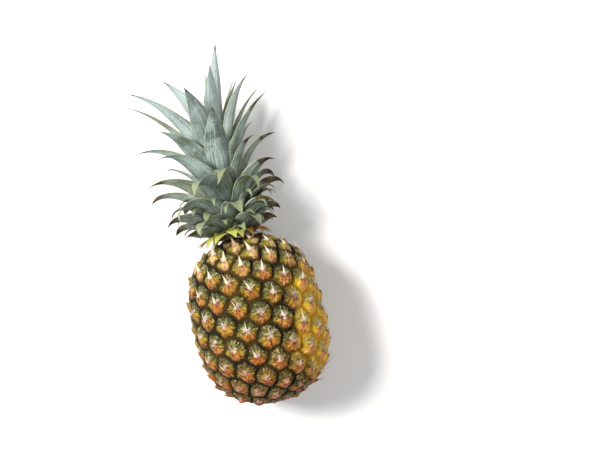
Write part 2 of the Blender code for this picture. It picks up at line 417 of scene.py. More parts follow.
def add_blade(bm, section, stations, place, tone):
    """Adds a closed blade: a prism with this section, drawn out to a point by place().

    place(along, side, face) gives the point of a corner. The map "blade" holds (side, along),
    each from 0 to 1. The map "tone" holds the two numbers given for the whole blade, and the
    second has INSIDE_TONE added on its inner face.
    """
    shape_map, tone_map = bm.loops.layers.uv["blade"], bm.loops.layers.uv["tone"]
    finished = set(bm.faces)
    made = bmesh.ops.create_cone(
        bm, cap_ends=True, segments=len(section), radius1=1.0, radius2=1.0, depth=stations
    )["verts"]
    long_edges = {edge for vertex in made for edge in vertex.link_edges if is_along(edge)}
    bmesh.ops.subdivide_edges(bm, edges=list(long_edges), cuts=stations - 1)
    faces = [face for face in bm.faces if face not in finished]
    vertices = {vertex for face in faces for vertex in face.verts}
    where = {}
    inner = {}
    for vertex in vertices:
        along = round(vertex.co.z + stations / 2) / stations
        corner = round(math.atan2(vertex.co.y, vertex.co.x) / math.tau * len(section))
        side, face = section[corner % len(section)]
        where[vertex] = (side / 2 + 0.5, along)
        inner[vertex] = face < 0
        vertex.co = place(1.0, 0.0, 0) if along == 1.0 else place(along, side, face)
    for face in faces:
        inside = INSIDE_TONE if any(inner[vertex] for vertex in face.verts) else 0.0
        for loop in face.loops:
            loop[shape_map].uv = where[loop.vert]
            loop[tone_map].uv = (tone[0], tone[1] + inside)


def is_along(edge):
    """Whether an edge of an upright prism runs along it."""
    start, end = edge.verts
    return abs(start.co.z - end.co.z) > 0.5


def blade_mesh():
    """An empty bmesh with the two maps of a blade."""
    bm = bmesh.new()
    bm.loops.layers.uv.new("blade")
    bm.loops.layers.uv.new("tone")
    return bm


def close_tips(bm):
    """Joins the corners that meet at each blade's tip."""
    bmesh.ops.remove_doubles(bm, verts=bm.verts[:], dist=1e-7)


# ---------------------------------------------------------------- the fruit's skin


class Fruit:
    """The smooth form under the eyes, and the way to draw it onto a ball with angles kept."""

    def __init__(self):
        turns = np.linspace(-math.pi / 2, math.pi / 2, OUTLINE_STEPS)[1:-1]
        reach = np.abs(np.sin(turns)) ** (2.0 / SHOULDER_POWER)
        self.y = FRUIT_HALF_LENGTH * np.sign(turns) * reach
        self.radius = FRUIT_RADIUS * np.cos(turns)
        middle = (self.radius[1:] + self.radius[:-1]) / 2
        step = np.hypot(np.diff(self.y), np.diff(self.radius))
        latitude = np.concatenate([[0.0], np.cumsum(step / middle)])
        self.latitude = latitude - latitude[-1] / 2
        middle_y = (self.y[1:] + self.y[:-1]) / 2
        along = np.abs(middle_y / FRUIT_HALF_LENGTH) ** SHOULDER_POWER
        share = 1 - (1 - END_EYE_SHARE) * along
        eyes = np.cumsum(2 * math.pi * middle * step / (EYE_AREA * share))
        self.eyes_so_far = np.concatenate([[0.0], eyes])

    def surface(self, ball):
        """(points, normals) of the form at points of the unit ball, one in each row."""
        level = np.clip(ball[:, 1], -0.999999, 0.999999)
        latitude = np.arctanh(level)
        y = np.interp(latitude, self.latitude, self.y)
        radius = np.interp(latitude, self.latitude, self.radius)
        slope_y = np.interp(latitude + 0.01, self.latitude, self.y)
        slope_y -= np.interp(latitude - 0.01, self.latitude, self.y)
        slope_r = np.interp(latitude + 0.01, self.latitude, self.radius)
        slope_r -= np.interp(latitude - 0.01, self.latitude, self.radius)
        around = ball[:, [0, 2]]
        around = around / np.maximum(np.linalg.norm(around, axis=1), 1e-9)[:, None]
        points = np.stack(
            [radius * around[:, 0], y, AXIS_HEIGHT + radius * around[:, 1]], axis=1
        )
        normals = np.stack(
            [slope_y * around[:, 0], -slope_r, slope_y * around[:, 1]], axis=1
        )
        normals /= np.maximum(np.linalg.norm(normals, axis=1), 1e-12)[:, None]
        return points, normals

    def eye_centres(self):
        """The eyes' places on the ball, on one spiral that gives each its share of the skin."""
        centres = []
        for number in range(int(self.eyes_so_far[-1])):
            latitude = float(np.interp(number + 0.5, self.eyes_so_far, self.latitude))
            level = math.tanh(latitude)
            azimuth = EYE_PHASE + number * EYE_TURN
            across = math.sqrt(1 - level**2)
            centres.append((across * math.cos(azimuth), level, across * math.sin(azimuth)))
        return centres


def faces_round(vertex):
    """The faces round a corner, each sharing an edge with the one before."""
    start = vertex.link_loops[0]
    loop = start
    found = []
    while True:
        found.append(loop.face)
        loop = loop.link_loop_prev.link_loop_radial_next
        if loop == start:
            return found


def eye_cells(centres):
    """A ball of one polygon round each eye."""
    hull = bmesh.new()
    for centre in centres:
        hull.verts.new(centre)
    bmesh.ops.convex_hull(hull, input=hull.verts)
    bmesh.ops.triangulate(hull, faces=hull.faces)
    hull.normal_update()
    bmesh.ops.recalc_face_normals(hull, faces=hull.faces)
    hull.faces.index_update()
    cells = bmesh.new()
    corners = [cells.verts.new(face.calc_center_median().normalized()) for face in hull.faces]
    for vertex in hull.verts:
        cells.faces.new([corners[face.index] for face in faces_round(vertex)])
    hull.free()
    return cells


class Eyes:
    """The places of the eyes, the axes of each and what is measured from them."""

    def __init__(self, fruit, centres):
        dice = random.Random(EYE_SEED)
        self.count = len(centres)
        self.centre, self.outwards = fruit.surface(np.array(centres))
        axis = np.array([0.0, 1.0, 0.0])
        towards = axis - self.outwards * (self.outwards @ axis)[:, None]
        self.up = towards / np.linalg.norm(towards, axis=1)[:, None]
        self.side = np.cross(self.up, self.outwards)
        self.dice = np.array([[dice.random() for _ in range(6)] for _ in centres])
        gaps = np.linalg.norm(self.centre[:, None] - self.centre[None], axis=2)
        self.gaps = np.where(gaps == 0, np.inf, gaps)
        self.size = np.sort(self.gaps, axis=1)[:, :6].mean(axis=1) / EYE_SPACING

    def nearest(self, points):
        """The number of the eye nearest to each point."""
        return np.argmin(self.distances(points), axis=1)

    def distances(self, points):
        """How far each point is from every eye, one row for each point."""
        squares = (points**2).sum(axis=1)[:, None] + (self.centre**2).sum(axis=1)[None]
        return np.sqrt(np.maximum(squares - 2 * points @ self.centre.T, 0))

    def measure(self, points, eye):
        """Each point's place on its eye (across, towards the crown) and distance to the border.

        All are in mm on an eye of the usual size. The border has rounded corners.
        """
        offset = points - self.centre[eye]
        across = (offset * self.side[eye]).sum(axis=1)
        up = (offset * self.up[eye]).sum(axis=1)
        away = self.distances(points)
        own = away[np.arange(len(points)), eye][:, None]
        border = (away**2 - own**2) / (2 * self.gaps[eye])
        border = np.where(np.isfinite(self.gaps[eye]), border, 1.0)
        scale = MM * self.size[eye]
        border = np.maximum(np.sort(border, axis=1)[:, :7] / scale[:, None], 1e-3)
        border = (border**-CORNER_ROUNDING).sum(axis=1) ** (-1 / CORNER_ROUNDING)
        return across / scale, up / scale, border


def smooth(values, low, high):
    """0 below low, 1 above high and smooth between, for arrays."""
    share = np.clip((values - low) / (high - low), 0, 1)
    return share * share * (3 - 2 * share)


def eye_height(across, up, border, dice):
    """How high the skin stands over the bottom of the grooves, in mm, at a place on an eye.

    Its lower half is the fleshy foot of the bract, a wedge that rises to the middle. Above the
    middle is a small hollow, and above that the cap of the sepals with its scalloped rim.
    Ridges run out from the middle in every direction.
    """
    pillow = PILLOW_HEIGHT * (1 - np.exp(-border / PILLOW_EDGE)) + PILLOW_RISE * border
    reach = np.hypot(across, up - EYE_MIDDLE)
    angle = np.arctan2(across, up - EYE_MIDDLE)
    half_width = np.interp(up, BRACT_HEIGHTS, BRACT_HALF_WIDTHS)
    on_bract = smooth(half_width - np.abs(across), -0.8, 1.6)
    wedge = on_bract * (BRACT_FOOT + BRACT_RISE * smooth(up, -9.5, 1.0)) * smooth(up, 4.4, 1.6)
    from_hollow = across**2 + (up - HOLLOW_UP) ** 2
    hollow = -HOLLOW_DEPTH * np.exp(-from_hollow / (2 * HOLLOW_SIZE**2))
    ridges = np.zeros_like(across)
    for number, waves in enumerate(RIDGE_WAVES):
        ridges += RIDGE_HEIGHT * np.cos(waves * angle + 40 * dice[:, number])
    ridges *= smooth(reach, 0.8, 3.0)
    scallops = SCALLOP_HEIGHT * np.cos(SCALLOP_WAVES * angle + 6 * dice[:, 4])
    scallops *= smooth(up, -3.0, 1.0)
    scallops *= np.exp(-((border - SCALLOP_BORDER) ** 2) / (2 * SCALLOP_WIDTH**2))
    return pillow + (wedge + hollow + ridges) * smooth(border, 0.3, 2.4) + scallops


def wander(points, size, amount):
    """Moves points by up to about amount, this way and that, in waves of about size."""
    shifts = [noise.noise_vector(Vector(point) / size) for point in points]
    return points + amount * np.array(shifts)


def make_skin(fruit, eyes, cells):
    """The fruit's skin: every eye's cell divided finely and raised from the grooves.

    The map "eye" holds the place on the eye (across, up) and the map "edge" the distance to its
    border, all divided by MAP_SIZE, and a number from 0 to 1 of the eye's own.
    """
    bmesh.ops.poke(cells, faces=cells.faces[:])
    bmesh.ops.subdivide_edges(cells, edges=cells.edges[:], cuts=SKIN_CUTS, use_grid_fill=True)
    bmesh.ops.triangulate(cells, faces=cells.faces[:])
    cells.loops.layers.uv.new("eye")
    cells.loops.layers.uv.new("edge")
    mesh = add_piece("pineapple_skin", cells, skin_material(), "fruit_skin", "fruit").data
    ball = np.empty(len(mesh.vertices) * 3)
    mesh.vertices.foreach_get("co", ball)
    ball = ball.reshape(-1, 3)
    ball /= np.linalg.norm(ball, axis=1)[:, None]
    points, normals = fruit.surface(ball)
    noise.seed_set(WOBBLE_SEED)  # Without it, noise_vector differs from run to run.
    moved = points
    for size, amount in SKIN_WOBBLES:
        moved = wander(moved, size, amount)

    eye = eyes.nearest(moved)
    across, up, border = eyes.measure(moved, eye)
    height = eye_height(across, up, border, eyes.dice[eye]) * eyes.size[eye]
    lumps = np.array([noise.noise(Vector(point) / LUMP_SIZE) for point in points])
    uneven = EYE_UNEVENNESS * (eyes.dice[eye, 5] - 0.5) * smooth(border, 0, 3)
    height += LUMP_HEIGHT * lumps + uneven
    raised = height * MM - GROOVE_DEPTH
    points = level_ends(points + normals * raised[:, None])
    mesh.vertices.foreach_set("co", points.ravel())

    corner = np.empty(len(mesh.loops), np.int32)
    mesh.loops.foreach_get("vertex_index", corner)
    middle = moved[corner].reshape(-1, 3, 3).mean(axis=1)
    eye = np.repeat(eyes.nearest(middle), 3)
    across, up, border = eyes.measure(moved[corner], eye)
    place = np.stack([across, up], axis=1) / MAP_SIZE + 0.5
    edge = np.stack([border / MAP_SIZE, eyes.dice[eye, 0]], axis=1)
    mesh.uv_layers["eye"].data.foreach_set("uv", place.ravel())
    mesh.uv_layers["edge"].data.foreach_set("uv", edge.ravel())
    mesh.update()


def level_ends(points):
    """Presses the skin flat where it rests and the cut scar into its base, and trims the neck."""
    points[:, 2] = np.maximum(points[:, 2], 0.0)
    from_axis = np.hypot(points[:, 0], points[:, 2] - AXIS_HEIGHT)
    scar = smooth(from_axis, SCAR_RADIUS + 2 * MM, SCAR_RADIUS - 1 * MM)
    cut_y = BASE_Y + SCAR_DEPTH + SCAR_RING_DEPTH * np.sin(from_axis * SCAR_RING_WAVES)
    at_base = points[:, 1] < 0
    points[:, 1] = np.where(at_base, points[:, 1] * (1 - scar) + cut_y * scar, points[:, 1])
    points[:, 1] = np.clip(points[:, 1], BASE_Y, NECK_Y + NECK_OVERLAP)
    return points


class SkinFinish(Finish):
    """The fruit's skin, with what its colours follow at a place on an eye.

    across and rise lead from the eye's middle, reach is their length and border the distance to
    the eye's edge, all in mm. chance and other are numbers of the eye's own. rays and hairs run
    out from the middle. ripe, low and high are 1 on the yellow side, by the base and by the
    crown, and foot is 1 on the lowest part of an eye.
    """

    def __init__(self):
        super().__init__("pineapple_skin", Specular_IOR_Level=0.14)
        across, up, _ = self.map_pair("eye")
        self.across = (across - 0.5) * MAP_SIZE
        self.rise = (up - 0.5) * MAP_SIZE - EYE_MIDDLE
        border, self.chance, _ = self.map_pair("edge")
        self.border = border * MAP_SIZE
        self.other = (self.chance * 7.31).maths("FRACT")
        squares = self.across * self.across + self.rise * self.rise
        self.reach = (squares**0.5).at_least(0.01)
        self.rays = self.streaks(2.6, 0.10, 41.0, 1.3, 4.0)
        self.hairs = self.streaks(7.0, 0.22, 17.0, 1.5, 3.0)

        point = self.place()
        self.x, self.y, self.z = self.split(point)
        self.coarse = self.noise(point, 30.0, 2.0)
        self.patch = self.noise(point, 75.0).step(0.56, 0.68)
        self.blotch = self.noise(point, 150.0)
        self.grain = self.noise(point, 420.0, 2.0, 0.6)
        self.fine = self.noise(point, 700.0, 4.0, 0.7)
        self.specks = self.noise(point, 1100.0, 2.0).step(0.58, 0.70)

        self.ripe = self.ripeness()
        self.low = self.y.step(0.000, -0.052)
        self.high = self.y.step(0.034, 0.062)
        self.foot = (self.rise + (self.blotch - 0.5) * 8.0).step(-1.0, -4.0)
        self.wobble = (self.blotch - 0.5) * 4.0 + (self.rays - 0.5) * 4.0

    def streaks(self, round_scale, out_scale, spread, scale, detail):
        """Noise drawn out from the eye's middle, so that it looks like rays."""
        x, y = self.across / self.reach, self.rise / self.reach
        out = self.reach * out_scale + self.chance * spread
        return self.noise(self.join(x * round_scale, y * round_scale, out), scale, detail, 0.7)

    def ripeness(self):
        """1 on the yellow flank on the right and 0 elsewhere, with a ragged border."""
        ragged = (self.blotch - 0.5) * 0.018 + (self.coarse - 0.5) * 0.030
        right = (self.x - self.y * 0.10 + ragged).step(0.028, 0.046)
        right = right * (self.y + ragged).step(0.058, 0.008)
        right = right * (self.y + ragged).step(-0.076, -0.036)
        return (right * 1.5 + (self.coarse - 0.5) * 0.4).at_least(0.0).at_most(1.0)

    def flank(self):
        """The sides and foot of an eye: olive, yellower by the crown and browner by the base."""
        rays = self.rays
        colour = self.mix(rays.step(0.35, 0.65), shade(110, 104, 22), shade(212, 184, 62))
        colour = self.lay(colour, self.high * 0.75, rays, (120, 128, 30), (206, 200, 96))
        colour = self.lay(colour, self.low * 0.6, rays, (84, 66, 14), (170, 122, 34))
        return self.lay(colour, self.ripe, rays, (226, 172, 24), (255, 236, 92))

    def cap(self):
        """The waxy upper half of an eye: grey-green, with pale hairs and a pale rim."""
        rays, hairs, reach, border = self.rays, self.hairs, self.reach, self.border
        colour = self.mix(rays.step(0.30, 0.70), shade(58, 66, 38), shade(150, 156, 116))
        colour = self.lay(colour, self.chance * 0.6, rays, (70, 72, 30), (146, 146, 96))
        browned = self.low * (self.other * 0.4 + 0.6)
        colour = self.lay(colour, browned, rays, (96, 70, 12), (206, 142, 40))
        colour = self.lay(colour, self.ripe * 0.95, rays, (226, 172, 30), (255, 240, 120))
        waxy = 1.0 - self.low * 0.7
        bloom = waxy * reach.step(8.5, 2.0) * hairs.step(0.40, 0.60)
        colour = self.mix(bloom, colour, shade(222, 226, 206))
        gaps = reach.step(9.0, 6.0) * rays.step(0.60, 0.45)
        colour = self.mix(gaps * 0.5, colour, shade(52, 60, 40))
        rim = border.step(0.9, 1.5) * border.step(3.4, 2.3) * hairs.step(0.46, 0.58)
        colour = self.mix(rim * waxy * 0.8, colour, shade(214, 206, 190))
        return self.mix(border.step(4.0, 1.6) * 0.55, colour, shade(38, 40, 18))

    def bract(self):
        """The dry bract: tan and fibrous, pink by the crown and a deeper brown by the base."""
        rays, hairs, blotch = self.rays, self.hairs, self.blotch
        colour = self.mix(hairs.step(0.25, 0.70), shade(132, 60, 24), shade(238, 160, 96))
        yellow = self.other.step(0.25, 0.75) * rays.step(0.40, 0.56)
        colour = self.mix(yellow * 0.85, colour, shade(206, 160, 48))
        colour = self.mix(blotch.step(0.52, 0.60) * 0.6, colour, shade(226, 150, 120))
        colour = self.mix(rays.step(0.48, 0.38) * 0.8, colour, shade(100, 44, 18))
        colour = self.mix(blotch.step(0.46, 0.38) * 0.6, colour, shade(150, 132, 40))
        paler = hairs.step(0.35, 0.60)
        colour = self.lay(colour, self.high, paler, (196, 128, 92), (255, 232, 214))
        colour = self.lay(colour, self.low * 0.85, hairs, (128, 54, 16), (232, 132, 62))
        colour = self.lay(colour, self.ripe * 0.6, hairs, (206, 132, 88), (255, 206, 150))
        return self.mix(self.border.step(3.4, 1.0) * 0.5, colour, shade(92, 60, 20))

    def eye(self):
        """An eye's flank, cap and bract, darker towards its edge where it isn't ripe, and darkest
        by the grooves as painted shade.
        """
        on_cap = (self.rise + self.wobble * 0.4).step(-1.8, 1.6)
        colour = self.mix(on_cap, self.flank(), self.cap())
        half_width = (2.2 - self.rise * 0.66).at_least(0.0)
        half_width = half_width * (1.0 - self.high * 0.45 + self.low * 0.35)
        on_bract = (half_width + self.wobble - abs(self.across)).step(-1.1, 1.4)
        colour = self.mix(on_bract * self.rise.step(2.6, 0.8), colour, self.bract())
        fresh = (1.0 - self.ripe) * (1.0 - self.foot * 0.75) * (1.0 - self.low * 0.35)
        outer = fresh * self.border.step(8.5, 4.0) * (1.0 - self.high * 0.7)
        colour = self.times(colour, ROUND_TINT, outer)
        # Painted shade: the upper half of the eye darkened close to the grooves.
        colour = self.times(colour, PAINTED_EDGE_SHADE, fresh * self.border.step(4.2, 1.4))
        at_foot = self.foot * (1.0 - self.ripe) * self.border.step(5.0, 2.0)
        return self.times(colour, FOOT_TINT, at_foot)

    def wear(self, colour):
        """Adds dry patches, light and dark streaks, and each eye's pale star and red crack."""
        rays, reach = self.rays, self.reach
        colour = self.lay(colour, self.patch * 0.5, self.hairs, (70, 44, 16), (186, 132, 58))
        colour = self.times(colour, WARM_TINT)
        streaks = self.hairs * 0.65 + self.grain * 0.35
        light = streaks.step(0.54, 0.64) * 0.60
        colour = self.lay(colour, light, self.ripe, (236, 216, 150), (255, 246, 150))
        dark = streaks.step(0.49, 0.40) * (1.0 - self.ripe * 0.6) * (1.0 - self.high * 0.5)
        colour = self.times(colour, STREAK_TINT, dark)
        star = reach.step(4.4, 0.8) * rays.step(0.34, 0.58) * (1.0 - self.low * 0.65)
        colour = self.mix(star * 0.95, colour, shade(250, 240, 222))
        crack = reach.step(6.5, 2.5) * self.rise.step(1.2, 0.0) * rays.step(0.55, 0.46)
        return self.mix(crack * 0.9, colour, shade(92, 26, 16))

    def grooves(self, colour):
        """Adds the grooves, dark green deepened to near black as painted shade and yellow on the
        ripe side, the neck, brown and darkened as painted shade under the crown, and specks.
        """
        # Painted shade: the grooves are near black, deeper than their own dark green.
        groove_and_shade = self.mix(self.coarse, shade(10, 14, 4), shade(32, 34, 10))
        groove_and_shade = self.mix(self.foot * 0.3, groove_and_shade, shade(104, 68, 22))
        groove_and_shade = self.mix(self.ripe * 0.9, groove_and_shade, shade(214, 158, 26))
        wavy = self.border + (self.fine - 0.5) * 2.2 + (self.blotch - 0.5) * 2.4
        colour = self.mix(wavy.step(2.1, 1.2), colour, groove_and_shade)
        # The neck is dark brown, darkened further as painted shade under the leaves.
        colour = self.mix(self.y.step(0.069, 0.073), colour, shade(74, 50, 26))
        return self.mix(self.specks * 0.45, colour, shade(52, 36, 16))

    def scar(self, colour):
        """Adds the cut scar on the base, ringed like wood."""
        up = self.z - AXIS_HEIGHT
        from_axis = (self.x * self.x + up * up) ** 0.5
        on_scar = from_axis.step(SCAR_RADIUS + 1.5 * MM, SCAR_RADIUS)
        on_scar = on_scar * self.y.step(BASE_Y + 6 * MM, BASE_Y + 4 * MM)
        rings = self.noise(self.join(from_axis * 600.0, 0.0, 0.0), 1.0)
        return self.lay(colour, on_scar, rings, (120, 84, 48), (196, 160, 108))


def skin_material():
    """The skin: eyes of flank, cap and bract between dark grooves, and the scar on the base."""
    skin = SkinFinish()
    colour = skin.scar(skin.grooves(skin.wear(skin.eye())))
    relief = skin.fine * 0.5 + skin.hairs * 0.9 + skin.rays * 0.6
    rough = 0.40 + skin.fine * 0.25 + skin.border.step(1.6, 0.4) * 0.3
    return skin.finish(colour, rough, relief, 0.0012, 0.9)


# ---------------------------------------------------------------- bracts and spines


def ramp(value, start, length):
    """0 up to start, 1 from start + length on and even between."""
    return max(0.0, min(1.0, (value - start) / length))


def make_spines(eyes):
    """The dry tip of each bract: a pale spine, between two short teeth."""
    bm = blade_mesh()
    dice = random.Random(SPINE_SEED)
    for eye in range(eyes.count):
        y = eyes.centre[eye, 1]
        if y < BASE_Y + BARE_BASE or y > NECK_Y - BARE_NECK:
            continue
        high = ramp(y, 0.040, 0.025)
        low = ramp(-y, 0.010, 0.040)
        turn = dice.uniform(-0.15, 0.60)
        length = dice.uniform(8.0, 11.5)
        width = dice.uniform(1.5, 2.2) + 1.8 * high
        lift = dice.uniform(0.20, 0.45)
        add_spine(bm, eyes, eye, (0.0, -1.2), turn, length, width, lift, (dice.random(), low))
        for side in (-1, 1):
            foot = (side * dice.uniform(0.8, 1.5), dice.uniform(-0.8, 0.6))
            turn = -side * dice.uniform(0.5, 1.3)
            length = dice.uniform(2.2, 4.2)
            add_spine(bm, eyes, eye, foot, turn, length, 0.9, 0.3, (dice.random(), low))
    close_tips(bm)
    add_piece("bract_spines", bm, spine_material(), "fruit_skin")


def add_spine(bm, eyes, eye, foot, turn, length, width, lift, tone):
    """Adds a spine to an eye: its foot in the eye's axes, its turn to the left, sizes in mm.

    Spines near the floor lie flatter, and none reaches past SPINE_REACH from the fruit's axis.
    """
    up, side, out = (Vector(way[eye]) for way in (eyes.up, eyes.side, eyes.outwards))
    depth = EYE_MIDDLE_HEIGHT * eyes.size[eye] - GROOVE_DEPTH / MM - SPINE_ROOT_DEPTH
    start = Vector(eyes.centre[eye]) + (side * foot[0] + up * foot[1] + out * depth) * MM
    way = (up * math.cos(turn) - side * math.sin(turn)).normalized()
    across = way.cross(out)
    if start.z < 12 * MM:
        lift *= 0.3

    def place(along, side_share, face):
        height = 0.3 + length * lift * along + 0.5 * along**2
        taper = 0.6 * (1 - along) ** 1.8 + 0.4 * (1 - along)
        point = start + (way * length * along + out * height) * MM
        point += across * side_share * width * taper * MM
        point += out * face * 0.7 * taper * MM
        from_axis = math.hypot(point.x, point.z - AXIS_HEIGHT)
        shrink = min(SPINE_REACH / from_axis, 1.0)
        level = AXIS_HEIGHT + (point.z - AXIS_HEIGHT) * shrink
        return Vector((point.x * shrink, point.y, max(level, 0.2 * MM)))

    add_blade(bm, NARROW_SECTION, SPINE_STATIONS, place, tone)


def spine_material():
    """Dry spines: cream, browner at both ends and by the base, with a few browned all over."""
    dry = Finish("dry_bract", roughness=0.6, Specular_IOR_Level=0.25)
    side, along, _ = dry.map_pair("blade")
    chance, low, _ = dry.map_pair("tone")
    low = low - low.step(1.4, 1.6) * INSIDE_TONE
    grain = dry.noise(dry.join(side * 6.0, along * 1.5, chance * 30.0), 2.0, 4.0)
    colour = dry.mix(grain, shade(214, 186, 150), shade(250, 240, 220))
    colour = dry.mix(along.step(0.35, 0.0) * 0.6, colour, shade(208, 150, 110))
    colour = dry.mix(along.step(0.80, 1.0) * 0.5, colour, shade(150, 110, 70))
    colour = dry.mix(low * 0.75, colour, shade(206, 132, 84))
    colour = dry.mix(chance.step(0.80, 0.86) * 0.7, colour, shade(150, 104, 62))
    return dry.finish(colour, None, grain, 0.0003)


# ---------------------------------------------------------------- the crown


def stem_radius(height):
    """Radius of the crown's stem at a height above the neck."""
    share = min(height / STEM_LENGTH, 1.0)
    return STEM_FOOT_RADIUS + (STEM_TOP_RADIUS - STEM_FOOT_RADIUS) * share


def settle(across, height, up):
    """Where a point of a straight, even crown comes to lie once it rests on the floor."""
    reach = math.hypot(across, up)
    spread = 1 - LEFT_SPREAD * across / reach
    if up < 0:
        room = (AXIS_HEIGHT - FLOOR_CLEARANCE) * reach / -up
        share = reach * spread / room
        spread /= (1 + share**FLOOR_SHARPNESS) ** (1 / FLOOR_SHARPNESS)
    sway = CROWN_SWAY * (height / CROWN_LENGTH) ** 2
    return Vector((across * spread + sway, NECK_Y + height, AXIS_HEIGHT + up * spread))


class Leaf:
    """One leaf of the crown, as in the frame, with the detail of its blade."""

    def __init__(self, number):
        rank = number / (LEAF_COUNT - 1)
        dice = random.Random(LEAF_SEED + number)
        self.azimuth = LEAF_PHASE + number * LEAF_TURN
        self.foot = LOWEST_LEAF_HEIGHT + (TOP_LEAF_HEIGHT - LOWEST_LEAF_HEIGHT) * rank**1.15
        growth = min(rank / LONG_LEAF_RANK, 1.0)
        decline = max(rank - LONG_LEAF_RANK, 0.0) / (1 - LONG_LEAF_RANK)
        self.length = SHORT_LEAF_LENGTH + (LONG_LEAF_LENGTH - SHORT_LEAF_LENGTH) * growth**1.1
        self.length += (INNER_LEAF_LENGTH - LONG_LEAF_LENGTH) * decline
        self.length *= dice.uniform(0.92, 1.06)
        self.half_width = 0.0080 + 0.0040 * math.sin(math.pi * min(rank / 0.62, 1.0) / 2)
        self.half_width -= 0.0050 * max(rank - 0.80, 0.0) / 0.20
        self.clasp = LOWEST_LEAF_CLASP + (INNER_LEAF_CLASP - LOWEST_LEAF_CLASP) * rank
        self.lean = math.radians(66 - 62 * rank + dice.uniform(-1.5, 1.5))
        self.turn = math.radians(34 + 26 * math.sin(math.pi * rank) - 26 * rank**2)
        self.hook = math.radians(dice.uniform(20, 45) * (1 - rank**2))
        self.sway = dice.uniform(-0.010, 0.010)
        times_as_long, more_lean, sway = ODD_LEAVES.get(number + 1, (1.0, 0, self.sway))
        self.length *= times_as_long
        self.lean += math.radians(more_lean)
        self.sway = sway
        self.half_thickness = 0.00055 + 0.00015 * (1 - rank)

        # What follows is the blade's own, and the plain leaf doesn't have it.
        wider, twist, curl = LEAF_FORMS.get(number + 1, (LEAF_WIDER, None, None))
        if twist is None:
            twist = -30 * math.cos(self.azimuth)
        if curl is None:
            curl = 60 * max(1 - abs(rank - 0.22) / 0.24, 0.0)
        self.half_width *= wider
        self.clasp *= wider
        self.twist = math.radians(twist)
        self.curl = math.radians(curl)
        self.bend = USUAL_BEND
        if rank < FACING_RANK and math.sin(self.azimuth) > FACING:
            self.curl = FACING_CURL
            self.bend = SHARP_BEND
        self.blunt = 3.2 - 1.7 * min(rank / 0.5, 1.0)
        self.channel = 0.22 + 0.14 * dice.random()
        self.wave = dice.uniform(0.4, 1.1) * MM
        self.wave_phase = dice.uniform(0, 6)
        # Painted shade: leaves on the right take a lower rank, and with it the darker tone of
        # lower leaves.
        rightward = max(math.cos(self.azimuth), 0.0)
        painted_shade = PAINTED_SHADE_FALL * rightward if rank < PAINTED_SHADE_RANK else 0.0
        self.tone = (dice.random(), rank - painted_shade)
        self.trace()

    def trace(self, steps=96):
        """Follows the leaf's middle line: its reach from the axis, height and lean."""
        self.stations = np.linspace(0, 1, steps + 1)
        lean = self.lean_at((self.stations[1:] + self.stations[:-1]) / 2)
        foot_reach = stem_radius(self.foot) + LEAF_GAP + self.half_thickness * 1.6
        step = self.length / steps
        self.reach = foot_reach + np.concatenate([[0.0], np.cumsum(np.sin(lean))]) * step
        self.height = self.foot + np.concatenate([[0.0], np.cumsum(np.cos(lean))]) * step

    def lean_at(self, along):
        """How far the leaf leans out from upright: more and more towards the tip."""
        lean = self.lean + self.turn * (along - 0.45) + self.hook * along**4
        return lean + self.curl * along**self.bend

    def blade_point(self, along, side):
        """A point half way through the leaf's thickness, side from -1 to 1 across it."""
        reach = float(np.interp(along, self.stations, self.reach))
        height = float(np.interp(along, self.stations, self.height))
        lean = self.lean_at(along)
        taper = max(1 - along**self.blunt, 0.0) ** 1.15
        half_width = min(self.half_width, self.clasp * reach) * taper
        twist = self.twist * min(along / 0.5, 1.0)
        across = side * half_width * math.cos(twist)
        lift = side * half_width * math.sin(twist)
        lift -= self.channel * half_width * abs(side) ** 1.25
        lift -= self.wave * side**3 * math.sin(9 * along + self.wave_phase) * (1 - along)
        azimuth = self.azimuth + (across + self.sway * along**2) / reach
        reach = max(reach + lift * math.cos(lean), 1 * MM)
        height -= lift * math.sin(lean)
        return settle(reach * math.cos(azimuth), height, reach * math.sin(azimuth))

    def skin_point(self, along, side, face):
        """A point of the leaf's outer (face 1) or inner (face -1) skin, or its edge (face 0)."""
        if abs(side) == 1.0:
            tooth = round(along * LEAF_STATIONS) % 2
            return self.blade_point(along, side * (1.0 + LEAF_TOOTH * tooth))
        before, after = max(along - 0.01, 0.0), min(along + 0.01, 1.0)
        along_way = self.blade_point(after, side) - self.blade_point(before, side)
        inner = min(along, 0.98)
        across_way = self.blade_point(inner, side + 0.1) - self.blade_point(inner, side - 0.1)
        outwards = along_way.cross(across_way).normalized()
        thickness = self.half_thickness * (1 - 0.6 * along) * (1 - 0.45 * abs(side))
        return self.blade_point(along, side) + outwards * face * thickness


class NeckLeaf(Leaf):
    """A small leaf under the crown that bends out and down over the fruit's shoulder.

    Those that face the camera are broad, and dry on the right.
    """

    def __init__(self, number):
        dice = random.Random(NECK_LEAF_SEED + number)
        self.azimuth = NECK_LEAF_PHASE + number * LEAF_TURN
        self.foot = dice.uniform(1.2, 4.5) * MM
        self.length = dice.uniform(17, 25) * MM
        self.half_width = dice.choice((1.5, 5.0, 6.0, 7.5)) * MM
        self.clasp = 0.5
        self.lean = math.radians(dice.uniform(96, 112))
        self.turn = math.radians(dice.uniform(50, 80))
        self.hook = math.radians(dice.uniform(0, 20))
        self.curl = 0.0
        self.bend = USUAL_BEND
        self.twist = dice.uniform(-0.3, 0.3)
        self.sway = dice.uniform(-4, 4) * MM
        self.half_thickness = 0.5 * MM
        self.blunt = 1.5
        self.channel = 0.25
        self.wave = dice.uniform(0.3, 0.8) * MM
        self.wave_phase = dice.uniform(0, 6)
        self.tone = (dice.random(), 0.0)
        if math.sin(self.azimuth) > FACING:
            self.foot += 3 * MM
            self.half_width = dice.uniform(9.0, 10.5) * MM
            self.clasp = 0.75
            self.blunt = 1.6
            self.wave *= 0.3
            chance = FRESH_CHANCE if math.cos(self.azimuth) < DRY_SIDE else DRY_CHANCE
            self.tone = (chance, 0.0)
        self.trace()


